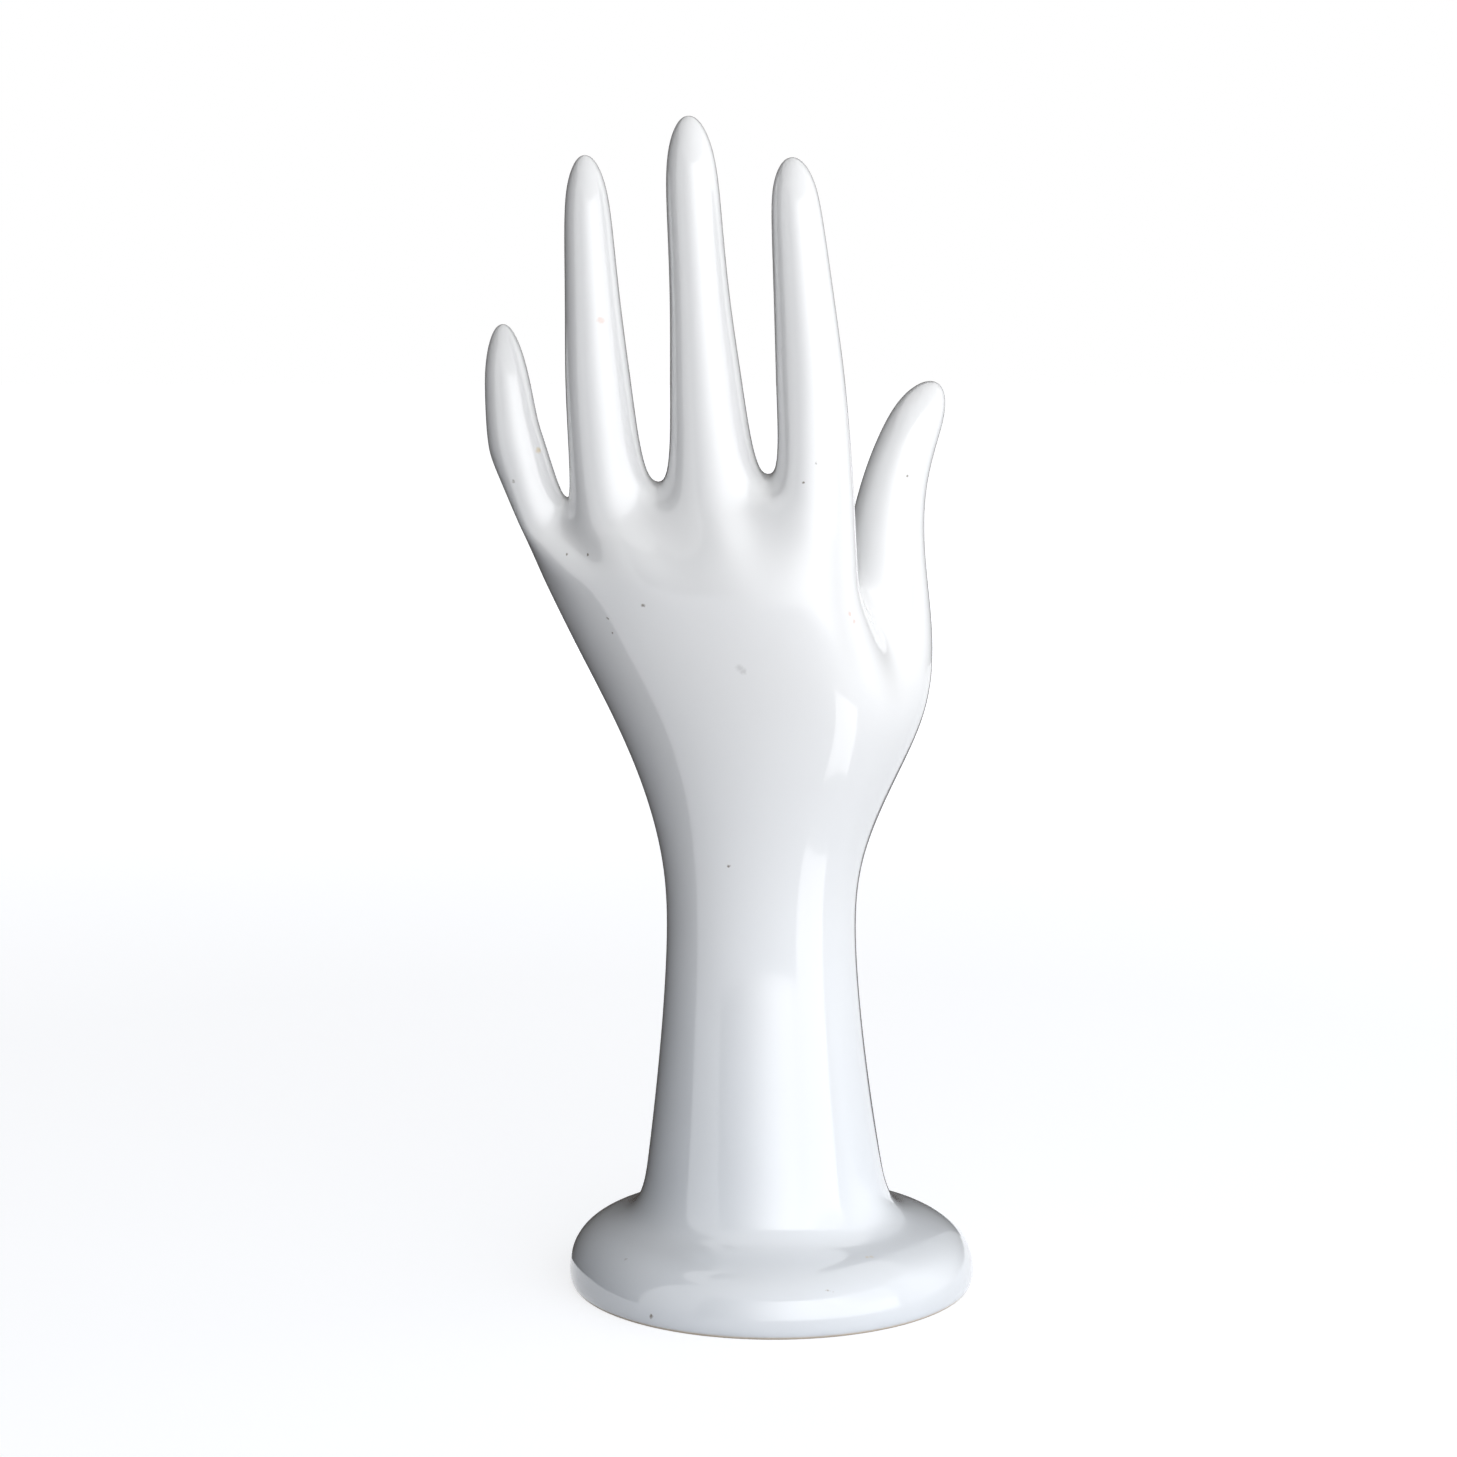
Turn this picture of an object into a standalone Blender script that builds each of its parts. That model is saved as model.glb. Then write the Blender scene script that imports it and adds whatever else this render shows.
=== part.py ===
import bpy
import bmesh
import numpy as np
from collections import namedtuple

# Hand jewelry stand: one slip-cast, glazed piece. A left hand stands on a forearm and a round domed foot.
# The back of the hand faces -Y, the thumb is on +X, and the foot's flat ring lies on z = 0.
# The outside and the hollow are one cage of four-sided faces, which a Subdivision Surface rounds.
# All x places are measured from the foot's axis. Lengths are in metres, heights above the ground
# unless a comment says otherwise.

# Foot: a low dome on an upright edge, with a flat unglazed ring under it
FOOT_RADIUS = 0.0503
FOOT_EDGE = 0.0060          # height of the upright edge
FOOT_BEVEL = 0.0010         # rounding between the edge and the flat ring
FOOT_RING = 0.0042          # width of the flat ring
DOME_RISE = 0.0108          # how far the dome rises above the edge
FILLET_RISE = 0.0060        # from the top of the dome to the arm's neck
WALL = 0.0050               # thickness of the cast wall

# Arm, from the neck above the dome to the wrist
NECK_X = -0.0016
NECK_WIDTH = 0.0600
NECK_DEPTH = 0.0560
ARM_LENGTH = 0.0698
WRIST_X = -0.0027
WRIST_WIDTH = 0.0452
WRIST_DEPTH = 0.0370
ARM_POWER = 1.5             # how the arm's width grows towards the neck

# Hand between the wrist and the fork, the height where the thumb leaves the palm
HAND_LENGTH = 0.0784
PALM_SHIFT = -0.0143        # sideways from the wrist's middle to the palm's middle at the fork
PALM_WIDTH = 0.0786
PALM_FRONT = 0.0155
PALM_BACK = 0.0130
PALM_ARCH = 0.0030          # how far the palm's two sides lie behind its middle
PALM_Y = -0.0080            # how far the palm's middle at the fork lies before the wrist's
PALM_TWIST = 0.26           # how much further forward the palm lies for a step of 1 to the right
PALM_SLOPE = -0.55          # sideways run of the palm's left edge for a rise of 1
PALM_SQUARENESS = 2.3       # 2 is an ellipse, more is squarer
THENAR_DROP = 0.0210        # from the fork down to where the ball of the thumb is widest
THENAR_REACH = 0.0136       # how far it reaches past the thumb's middle
THENAR_POWER = 1.15         # how late the ball of the thumb swells
CREASE_FADE = (0, 0, 0, 0.25)   # what is left of the pocket by the thumb in each row under the fork

# Row of finger roots, with heights above the fork
ROW_SHIFT = -0.0067         # sideways from the palm's middle to the row's middle
GAPS = (0.0028, 0.0061, 0.0046)             # between neighbouring fingers at their bases
WEB_WIDTHS = (0.0010, 0.0042, 0.0034)       # floors of the webs under those gaps
WEB_HEIGHTS = (0.0215, 0.0255, 0.0278)
SIDE_HEIGHTS = (0.0190, 0.0250)             # left of the little finger and right of the index
WEB_FILLS = (0.0, 0.15, 0.60)               # how far the hand fills the grooves beside those webs
SIDE_FILLS = (0.5, 0.0)                     # and beside the little finger and the index
WEB_SLOPE = 0.0045          # how much lower the web's front edge is
ROOT_SHIFTS = (0.0015, -0.0010, -0.0010, -0.0010)   # from the palm's middle plane to each finger's middle
ROOT_POWER = 1.7            # how late the palm's back and front turn into the fingers
KNUCKLE_HEIGHT = 0.0180
KNUCKLE_RISES = (-0.0003, 0.0006, 0.0006, 0.0005)
VALLEY_DEPTH = 0.0003
KNUCKLE_SPREAD = 0.0070

# The hollow runs from the foot's ring up into the palm
HOLLOW_DROP = 0.0110        # from the fork down to the hollow's top
HOLLOW_WIDTH = 0.0340
HOLLOW_DEPTH = 0.0180

# A digit's path starts at its base, a height above the fork. lean is its sideways travel and bend the
# power that the travel follows, curl is the travel towards the palm, taper the power that the width
# follows, cap the length of the rounded end and splay the sideways step from the base down to the root.
Digit = namedtuple("Digit", "base length lean bend curl width end taper cap splay")
LITTLE = Digit(
    base=0.0300, length=0.0335, lean=-0.0061, bend=0.45, curl=0.0080,
    width=0.0142, end=0.0122, taper=1.0, cap=0.0220, splay=0.0032,
)
RING = Digit(
    base=0.0330, length=0.0706, lean=-0.0048, bend=0.80, curl=0.0110,
    width=0.0182, end=0.0115, taper=1.3, cap=0.0165, splay=0.0008,
)
MIDDLE = Digit(
    base=0.0330, length=0.0796, lean=-0.0058, bend=0.85, curl=0.0120,
    width=0.0212, end=0.0128, taper=2.2, cap=0.0170, splay=0.0005,
)
INDEX = Digit(
    base=0.0335, length=0.0691, lean=-0.0057, bend=1.10, curl=0.0110,
    width=0.0181, end=0.0120, taper=1.0, cap=0.0135, splay=0.0,
)
THUMB = Digit(
    base=0.0, length=0.0488, lean=0.0132, bend=2.60, curl=0.0105,
    width=0.0212, end=0.0138, taper=1.2, cap=0.0120, splay=0.0,
)
FINGERS = (LITTLE, RING, MIDDLE, INDEX)
THUMB_SHIFT = 0.0052        # sideways from the palm's right edge to the thumb's middle
THUMB_Y = 0.0110
DIGIT_DEPTH = 0.88          # a digit's depth for a width of 1

# Places that follow from these sizes
DOME_TOP = FOOT_EDGE + DOME_RISE
NECK_HEIGHT = DOME_TOP + FILLET_RISE
WRIST_HEIGHT = NECK_HEIGHT + ARM_LENGTH
FORK_HEIGHT = WRIST_HEIGHT + HAND_LENGTH
THENAR_HEIGHT = FORK_HEIGHT - THENAR_DROP
HOLLOW_TOP = FORK_HEIGHT - HOLLOW_DROP
PALM_X = WRIST_X + PALM_SHIFT
ROW_X = PALM_X + ROW_SHIFT
THUMB_X = PALM_X + PALM_WIDTH / 2 + THUMB_SHIFT
THENAR_X = THUMB_X + THENAR_REACH
ORIGIN_X = 0.0100           # puts the part's origin under the middle of its box

# Fineness of the cage. Rows are placed by percents of a stretch or by turns in degrees.
COLUMNS = 32                # faces round the foot and the arm
PALM_COLUMNS = 12           # points over the back of the hand, and as many over the palm
DOME_TURNS = (0, 30, 55, 80)
HOLLOW_DOME_TURNS = (0, 40, 75)
ARM_PERCENTS = (0, 12, 35, 65, 100)
HOLLOW_ARM_PERCENTS = (5, 45, 100)
HOLLOW_HAND_PERCENTS = (35, 70, 92)
HAND_PERCENTS = (20, 40, 60, 80)
PALM_PERCENTS = (28, 55, 80)
SHAFT_RINGS = 5
CAP_TURNS = (30, 55, 75)
PATH_STEP = 0.001           # for the direction of a digit's path
OCTAGON_SHRINK = 0.9024     # how much the subdivision narrows a ring of eight
LEVEL = 1

# Columns of the ring at the fork: the palm's right edge, the crease behind it, the end of the thumb's
# front and the thumb's last column
PALM_EDGE, CREASE, THUMB_FRONT, THUMB_LAST = 13, 14, 16, 20

GLAZE_COLOUR = (0.86, 0.87, 0.88, 1.0)
GLAZE_ROUGHNESS = 0.12


# Curves and sections

def smooth(t):
    # 0 to 1 with level ends
    return t * t * (3 - 2 * t)


def swing(start, end, run, t):
    # a cubic that leaves start level and arrives at end with the given run
    return start + (end - start) * smooth(t) + run * t * t * (t - 1)


def shares(percents):
    return np.array(percents) / 100


def ellipse(x, y, z, half_width, half_depth, count):
    # starts at -X and goes round by the front, -Y
    turn = np.arange(count) * 2 * np.pi / count
    return np.stack([
        x - half_width * np.cos(turn),
        y - half_depth * np.sin(turn),
        np.full(count, z),
    ], axis=1)


def arm_section(z):
    # centre and half sizes of the arm between the neck and the wrist
    t = (z - NECK_HEIGHT) / ARM_LENGTH
    grow = (1 - t) ** ARM_POWER
    return (
        WRIST_X + (NECK_X - WRIST_X) * grow,
        (WRIST_WIDTH + (NECK_WIDTH - WRIST_WIDTH) * grow) / 2,
        (WRIST_DEPTH + (NECK_DEPTH - WRIST_DEPTH) * grow) / 2,
    )


# Digits

def digit_path(digit, x, y, z):
    t = np.maximum((z - FORK_HEIGHT - digit.base) / digit.length, 0)
    return np.stack([x + digit.lean * t ** digit.bend, y + digit.curl * t ** 2, z], axis=-1)


def digit_rings(digit, x, y):
    # rings of eight square to the path, then the point at the tip
    base = FORK_HEIGHT + digit.base
    tip = base + digit.length
    shoulder = tip - digit.cap
    along = np.linspace(0, 1, SHAFT_RINGS)
    shaft = base + (shoulder - base) * along
    width = digit.end + (digit.width - digit.end) * (1 - along) ** digit.taper
    turns = np.radians(CAP_TURNS)
    z = np.concatenate([shaft, shoulder + digit.cap * np.sin(turns)])
    half = np.concatenate([width, digit.end * np.cos(turns)]) / 2 / OCTAGON_SHRINK
    centre = digit_path(digit, x, y, z)
    tangent = digit_path(digit, x, y, z + PATH_STEP) - digit_path(digit, x, y, z - PATH_STEP)
    tangent /= np.linalg.norm(tangent, axis=1, keepdims=True)
    across = np.array([1.0, 0.0, 0.0]) - tangent[:, :1] * tangent
    across /= np.linalg.norm(across, axis=1, keepdims=True)
    back = np.cross(tangent, across)
    corner = np.radians(-135 + 45 * np.arange(8))
    rings = (
        centre[:, None]
        + half[:, None, None] * np.cos(corner)[None, :, None] * across[:, None]
        + half[:, None, None] * DIGIT_DEPTH * np.sin(corner)[None, :, None] * back[:, None]
    )
    return rings, digit_path(digit, x, y, np.array([tip]))


def finger_places():
    # the x of each finger's base: widths and gaps laid out side by side about the row's middle
    widths = np.array([finger.width for finger in FINGERS])
    starts = np.concatenate([[0], np.cumsum(widths[:-1] + GAPS)])
    total = widths.sum() + sum(GAPS)
    return ROW_X - total / 2 + starts + widths / 2


# Rings of the palm

def palm_middle(x):
    # the palm's middle plane, which faces a little away from the thumb
    return PALM_Y - PALM_TWIST * (x - PALM_X)


def palm_ring_at_fork():
    # left side, the columns over the back of the hand, right side, the columns over the palm
    share = np.arange(1, PALM_COLUMNS + 1) / (PALM_COLUMNS + 1)
    turn = np.abs(2 * share - 1)
    reach = (1 - turn ** PALM_SQUARENESS) ** (1 / PALM_SQUARENESS)
    arch = PALM_ARCH * turn ** 2
    x = PALM_X + PALM_WIDTH * (share - 0.5)
    height = np.full(PALM_COLUMNS, FORK_HEIGHT)
    front = np.stack([x, arch - PALM_FRONT * reach, height], axis=1)
    back = np.stack([x, arch + PALM_BACK * reach, height], axis=1)
    left = np.array([[PALM_X - PALM_WIDTH / 2, PALM_ARCH, FORK_HEIGHT]])
    right = np.array([[PALM_X + PALM_WIDTH / 2, PALM_ARCH, FORK_HEIGHT]])
    ring = np.concatenate([left, front, right, back[::-1]])
    ring[:, 1] += palm_middle(ring[:, 0])
    return ring


def root_sides(bases):
    # the left and right x of each finger's root: the bases stepped down by their splay, then drawn
    # together so that each web has its own width
    splay = np.array([finger.splay for finger in FINGERS])
    left = np.array([base[7, 0] for base in bases]) + splay
    right = np.array([base[3, 0] for base in bases]) + splay
    middle = (right[:-1] + left[1:]) / 2
    half = np.array(WEB_WIDTHS) / 2
    return np.append(left[:1], middle + half), np.append(middle - half, right[-1:])


def palm_ring_at_roots(bases):
    # the palm's columns, each under its corner of a finger's first ring, and the six web corners
    heights = FORK_HEIGHT + np.array([SIDE_HEIGHTS[0], *WEB_HEIGHTS, SIDE_HEIGHTS[1]])
    fills = (SIDE_FILLS[0], *WEB_FILLS, SIDE_FILLS[1])
    front, back, sides = [], [], []
    for i, (base, left, right) in enumerate(zip(bases, *root_sides(bases))):
        low, high = heights[i], heights[i + 1]
        ring = base.copy()
        ring[[0, 6], 1] += (base[[1, 5], 1] - base[[0, 6], 1]) * fills[i]
        ring[[2, 4], 1] += (base[[1, 5], 1] - base[[2, 4], 1]) * fills[i + 1]
        ring[:, 0] = left + (right - left) * (base[:, 0] - base[7, 0]) / (base[3, 0] - base[7, 0])
        ring[[0, 6, 7], 2] = low
        ring[[1, 5], 2] = (low + high) / 2
        ring[[2, 3, 4], 2] = high
        ring[:3, 2] -= WEB_SLOPE
        front.append(ring[:3])
        back.append(ring[[6, 5, 4]])
        sides.append(ring[[7, 3]])
    front, back, sides = np.concatenate(front), np.concatenate(back), np.concatenate(sides)
    ring = np.concatenate([sides[:1], front, sides[-1:], back[::-1]])
    return ring, sides[1:-1]


def palm_rows(fork, roots):
    # rings between the fork and the roots, with the knuckles raised and the valleys beside them lowered
    relief = np.zeros(len(fork))
    relief[1:PALM_COLUMNS + 1] = -VALLEY_DEPTH
    relief[2:PALM_COLUMNS + 1:3] = KNUCKLE_RISES
    rows = []
    for share in shares(PALM_PERCENTS):
        ring = fork + (roots - fork) * np.array([share, share ** ROOT_POWER, share])
        near = np.exp(-((ring[:, 2] - FORK_HEIGHT - KNUCKLE_HEIGHT) / KNUCKLE_SPREAD) ** 2)
        ring[:, 1] -= relief * near
        rows.append(ring)
    return rows


# Rings of the wrist and the ball of the thumb

def join_at_fork(palm, thumb):
    # one ring round the palm and the thumb together
    return np.concatenate([palm[:CREASE], thumb[:-1], palm[CREASE + 1:]])


def unit_shape(ring):
    low, high = ring[:, :2].min(axis=0), ring[:, :2].max(axis=0)
    return (ring[:, :2] - (low + high) / 2) / ((high - low) / 2)


def wrist_rows(wrist, fork):
    # the outline turns from the wrist's ellipse into the hand's outline while its four extents follow
    # curves of their own
    start, end = unit_shape(wrist), unit_shape(fork)
    low0, high0 = wrist[:, :2].min(axis=0), wrist[:, :2].max(axis=0)
    low1, high1 = fork[:, :2].min(axis=0), fork[:, :2].max(axis=0)
    rows = []
    for share, fade in zip(shares(HAND_PERCENTS), CREASE_FADE):
        z = WRIST_HEIGHT + HAND_LENGTH * share
        thenar = smooth(min(1.0, (z - WRIST_HEIGHT) / (THENAR_HEIGHT - WRIST_HEIGHT)) ** THENAR_POWER)
        above = max(0.0, (z - THENAR_HEIGHT) / (FORK_HEIGHT - THENAR_HEIGHT))
        left = swing(low0[0], low1[0], PALM_SLOPE * HAND_LENGTH, share)
        right = high0[0] + (THENAR_X - high0[0]) * thenar + (high1[0] - THENAR_X) * above
        front = low0[1] + (low1[1] - low0[1]) * smooth(share)
        back = high0[1] + (high1[1] - high0[1]) * thenar
        shape = start + (end - start) * smooth(share)
        bridge = np.linspace(shape[PALM_EDGE], shape[THUMB_FRONT], THUMB_FRONT - PALM_EDGE + 1)
        pocket = slice(PALM_EDGE, THUMB_FRONT + 1)
        shape[pocket] = bridge + (shape[pocket] - bridge) * fade
        shape = (np.roll(shape, 1, axis=0) + 2 * shape + np.roll(shape, -1, axis=0)) / 4
        low, high = shape.min(axis=0), shape.max(axis=0)
        part = (shape - low) / (high - low)
        x = left + (right - left) * part[:, 0]
        y = front + (back - front) * part[:, 1]
        rows.append(np.stack([x, y, np.full(COLUMNS, z)], axis=1))
    return rows


# Rings of the foot and the arm, outside and inside

def arm_rows(inset, percents):
    rows = []
    for share in shares(percents):
        z = NECK_HEIGHT + ARM_LENGTH * share
        x, half_width, half_depth = arm_section(z)
        rows.append(ellipse(x, 0, z, half_width - inset, half_depth - inset, COLUMNS))
    return rows


def dome_rows(inset, turns):
    # quarter ellipses from the foot's edge to the neck, which is an ellipse itself
    rise = DOME_RISE - inset
    rows = []
    for turn in np.radians(turns):
        out = np.cos(turn)
        half_width = NECK_WIDTH / 2 - inset + (FOOT_RADIUS - NECK_WIDTH / 2) * out
        half_depth = NECK_DEPTH / 2 - inset + (FOOT_RADIUS - NECK_DEPTH / 2) * out
        z = FOOT_EDGE + rise * np.sin(turn)
        rows.append(ellipse(NECK_X * (1 - out), 0, z, half_width, half_depth, COLUMNS))
    return rows


def circle(radius, z):
    return ellipse(0, 0, z, radius, radius, COLUMNS)


def outer_rows():
    rows = [circle(FOOT_RADIUS - FOOT_BEVEL, 0), circle(FOOT_RADIUS, FOOT_BEVEL)]
    rows += dome_rows(0, DOME_TURNS)
    rows += arm_rows(0, ARM_PERCENTS)
    return rows


def hollow_rows():
    # up the inside from the foot's ring to the last ring under the hollow's top, turning with the palm
    rows = [circle(FOOT_RADIUS - FOOT_BEVEL - FOOT_RING, 0), circle(FOOT_RADIUS - WALL, FOOT_BEVEL)]
    rows += dome_rows(WALL, HOLLOW_DOME_TURNS)
    rows += arm_rows(WALL, HOLLOW_ARM_PERCENTS)
    for share in shares(HOLLOW_HAND_PERCENTS):
        close = np.sqrt(1 - share ** 4)
        z = WRIST_HEIGHT + (HOLLOW_TOP - WRIST_HEIGHT) * share
        turned = smooth((z - WRIST_HEIGHT) / HAND_LENGTH)
        x = WRIST_X + PALM_SHIFT * turned
        half_width = WRIST_WIDTH / 2 - WALL + (HOLLOW_WIDTH - WRIST_WIDTH + 2 * WALL) / 2 * share
        half_depth = WRIST_DEPTH / 2 - WALL + (HOLLOW_DEPTH - WRIST_DEPTH + 2 * WALL) / 2 * share
        ring = ellipse(x, PALM_Y * turned, z, half_width * close, half_depth * close, COLUMNS)
        ring[:, 1] -= PALM_TWIST * turned * (ring[:, 0] - x)
        rows.append(ring)
    return rows, np.array([[PALM_X, PALM_Y, HOLLOW_TOP]])


# The cage

class Cage:
    def __init__(self):
        self.points = []
        self.faces = []
        self.count = 0

    def add(self, ring):
        first = self.count
        self.points.append(ring)
        self.count += len(ring)
        return np.arange(first, self.count)

    def face(self, *corners):
        self.faces.append(corners)

    def band(self, low, high):
        for i in range(len(low)):
            j = (i + 1) % len(low)
            self.face(low[i], low[j], high[j], high[i])

    def stack(self, first, rings):
        # joins first and every ring after it, and gives the last one back
        for ring in rings:
            above = self.add(ring)
            self.band(first, above)
            first = above
        return first

    def cap(self, ring, tip):
        # four faces that meet at the tip of a ring of eight
        for i in range(0, 8, 2):
            self.face(ring[i], ring[i + 1], ring[(i + 2) % 8], tip)

    def fan(self, ring, tip):
        for i in range(len(ring)):
            self.face(ring[i], ring[(i + 1) % len(ring)], tip)


def build_cage():
    places = zip(FINGERS, finger_places(), ROOT_SHIFTS)
    fingers = [digit_rings(finger, x, palm_middle(x) + shift) for finger, x, shift in places]
    thumb_rings, thumb_tip = digit_rings(THUMB, THUMB_X, THUMB_Y)
    thumb_rings[0, :, 2] = FORK_HEIGHT
    palm = palm_ring_at_fork()
    fork = join_at_fork(palm, thumb_rings[0])
    roots, webs = palm_ring_at_roots([rings[0] for rings, tip in fingers])

    cage = Cage()
    outside = outer_rows()
    foot_ring = cage.add(outside[0])
    wrist = cage.stack(foot_ring, outside[1:])
    fork_ring = cage.stack(wrist, wrist_rows(outside[-1], fork) + [fork])

    # inside, from the flat ring up
    inside, top = hollow_rows()
    inner_ring = cage.add(inside[0])
    cage.band(foot_ring, inner_ring)
    last = cage.stack(inner_ring, inside[1:])
    cage.fan(last, cage.add(top)[0])

    # the thumb and the fork's web
    palm_side = cage.add(palm[CREASE:CREASE + 1])[0]
    thumb_side = cage.add(thumb_rings[0, -1:])[0]
    cage.face(fork_ring[PALM_EDGE], fork_ring[CREASE], thumb_side, palm_side)
    cage.face(palm_side, thumb_side, fork_ring[THUMB_LAST], fork_ring[THUMB_LAST + 1])
    thumb_ring = np.concatenate([fork_ring[CREASE:THUMB_LAST + 1], [thumb_side]])
    cage.cap(cage.stack(thumb_ring, thumb_rings[1:]), cage.add(thumb_tip)[0])

    # the palm, the webs and the fingers
    palm_ring = np.concatenate([fork_ring[:CREASE], [palm_side], fork_ring[THUMB_LAST + 1:]])
    row = cage.stack(palm_ring, palm_rows(palm, roots) + [roots])
    web = cage.add(webs)
    sides = np.concatenate([[row[0]], web, [row[PALM_EDGE]]])
    front, back = row[1:PALM_EDGE], row[PALM_EDGE + 1:][::-1]
    for i, (rings, tip) in enumerate(fingers):
        f, b, s = front[3 * i:3 * i + 3], back[3 * i:3 * i + 3], sides[2 * i:2 * i + 2]
        ring = np.array([f[0], f[1], f[2], s[1], b[2], b[1], b[0], s[0]])
        cage.cap(cage.stack(ring, rings[1:]), cage.add(tip)[0])
    for i in range(len(FINGERS) - 1):
        left, right = web[2 * i], web[2 * i + 1]
        cage.face(front[3 * i + 2], front[3 * i + 3], right, left)
        cage.face(left, right, back[3 * i + 3], back[3 * i + 2])
    return cage, foot_ring, inner_ring


# The object

def glaze():
    material = bpy.data.materials.new("glazed_ceramic")
    material.use_nodes = True
    shader = material.node_tree.nodes["Principled BSDF"]
    shader.inputs["Base Color"].default_value = GLAZE_COLOUR
    shader.inputs["Roughness"].default_value = GLAZE_ROUGHNESS
    shader.inputs["Metallic"].default_value = 0.0
    return material


def make_stand():
    cage, *sharp_rings = build_cage()
    mesh = bpy.data.meshes.new("hand_stand")
    faces = [[int(corner) for corner in face] for face in cage.faces]
    mesh.from_pydata(np.concatenate(cage.points).tolist(), [], faces)

    bm = bmesh.new()
    bm.from_mesh(mesh)
    bmesh.ops.recalc_face_normals(bm, faces=bm.faces)
    bm.verts.ensure_lookup_table()
    crease = bm.edges.layers.float.new("crease_edge")
    for ring in sharp_rings:
        for first, second in zip(ring, np.roll(ring, -1)):
            edge = bm.edges.get((bm.verts[first], bm.verts[second]))
            edge[crease] = 1.0
    bm.to_mesh(mesh)
    bm.free()

    mesh.shade_smooth()
    mesh.materials.append(glaze())
    stand = bpy.data.objects.new("hand_stand", mesh)
    stand.location.x = ORIGIN_X
    bpy.context.collection.objects.link(stand)
    rounding = stand.modifiers.new("rounding", "SUBSURF")
    rounding.levels = LEVEL
    rounding.render_levels = LEVEL
    return stand


def main():
    for item in list(bpy.data.objects):
        bpy.data.objects.remove(item)
    make_stand()


main()
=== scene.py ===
import bmesh
import bpy
import numpy as np
from collections import namedtuple
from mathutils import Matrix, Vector


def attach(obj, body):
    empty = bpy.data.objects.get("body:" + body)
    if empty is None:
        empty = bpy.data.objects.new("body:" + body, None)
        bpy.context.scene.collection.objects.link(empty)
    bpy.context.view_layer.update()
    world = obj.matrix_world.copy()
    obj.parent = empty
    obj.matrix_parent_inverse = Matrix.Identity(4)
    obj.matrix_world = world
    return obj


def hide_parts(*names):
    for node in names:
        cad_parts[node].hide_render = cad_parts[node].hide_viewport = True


# Hand jewelry stand: one glazed ceramic casting, hollow from underneath.
# The back of the hand faces -Y, the thumb is on +X and the floor is z = 0. Lengths are in metres.
# x is measured from the foot's axis until the whole mesh is moved onto the CAD node's place.

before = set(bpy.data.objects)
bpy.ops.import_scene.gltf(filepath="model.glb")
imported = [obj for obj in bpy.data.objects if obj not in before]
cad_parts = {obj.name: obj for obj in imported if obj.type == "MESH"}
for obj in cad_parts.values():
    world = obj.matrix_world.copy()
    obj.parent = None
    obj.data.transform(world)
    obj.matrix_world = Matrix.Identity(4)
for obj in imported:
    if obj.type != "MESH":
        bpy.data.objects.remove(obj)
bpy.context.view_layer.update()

foot = {
    "radius": 0.0503,
    "edge": 0.0060,          # height of the upright edge
    "bevel": 0.0010,
    "ring": 0.0042,          # width of the flat ring that it stands on
    "domeRise": 0.0108,
    "filletRise": 0.0060,    # from the dome up to the neck of the arm
    "wall": 0.0050,
    "domeTurns": (0, 30, 55, 80),
    "hollowTurns": (0, 40, 75),
}

arm = {
    "neckX": -0.0016,
    "neckWidth": 0.0600,
    "neckDepth": 0.0560,
    "length": 0.0698,
    "wristX": -0.0027,
    "wristWidth": 0.0452,
    "wristDepth": 0.0370,
    "power": 1.5,            # how the width grows towards the neck
    "shares": (0, 0.12, 0.35, 0.65, 1.0),
    "hollowShares": (0.05, 0.45, 1.0),
}

hand = {
    "length": 0.0784,        # from the wrist to the fork, where the thumb leaves the palm
    "palmShift": -0.0143,
    "palmWidth": 0.0786,
    "palmFront": 0.0155,
    "palmBack": 0.0130,
    "palmArch": 0.0030,      # how far the palm's two sides lie behind its middle
    "palmY": -0.0080,        # how far its middle at the fork lies before the wrist's
    "palmTwist": 0.26,       # how much further forward it lies for a step of 1 to the right
    "palmSlope": -0.55,      # sideways run of the left edge for a rise of 1
    "squareness": 2.3,       # 2 is an ellipse
    "thenarDrop": 0.0210,    # from the fork down to the widest place of the ball of the thumb
    "thenarReach": 0.0136,
    "thenarPower": 1.15,
    "creaseFade": (0, 0, 0, 0.25),
    "shares": (0.2, 0.4, 0.6, 0.8),
    "hollowDrop": 0.0110,    # from the fork down to the top of the hollow
    "hollowWidth": 0.0340,
    "hollowDepth": 0.0180,
    "hollowShares": (0.35, 0.70, 0.92),
}

roots = {                    # heights are above the fork
    "shift": -0.0067,        # sideways from the palm's middle
    "gaps": (0.0028, 0.0061, 0.0046),
    "webWidths": (0.0010, 0.0042, 0.0034),
    "webHeights": (0.0215, 0.0255, 0.0278),
    "sideHeights": (0.0190, 0.0250),
    "webFills": (0.0, 0.15, 0.60),           # how far the hand fills the grooves beside the webs
    "sideFills": (0.5, 0.0),
    "webSlope": 0.0045,      # how much lower the front edge of a web is
    "shifts": (0.0015, -0.0010, -0.0010, -0.0010),      # from the palm's middle plane
    "power": 1.7,            # how late the palm's back and front turn into the fingers
    "knuckleHeight": 0.0180,
    "knuckleRises": (-0.0003, 0.0006, 0.0006, 0.0005),
    "valleyDepth": 0.0003,
    "knuckleSpread": 0.0070,
    "shares": (0.28, 0.55, 0.80),
}

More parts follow.
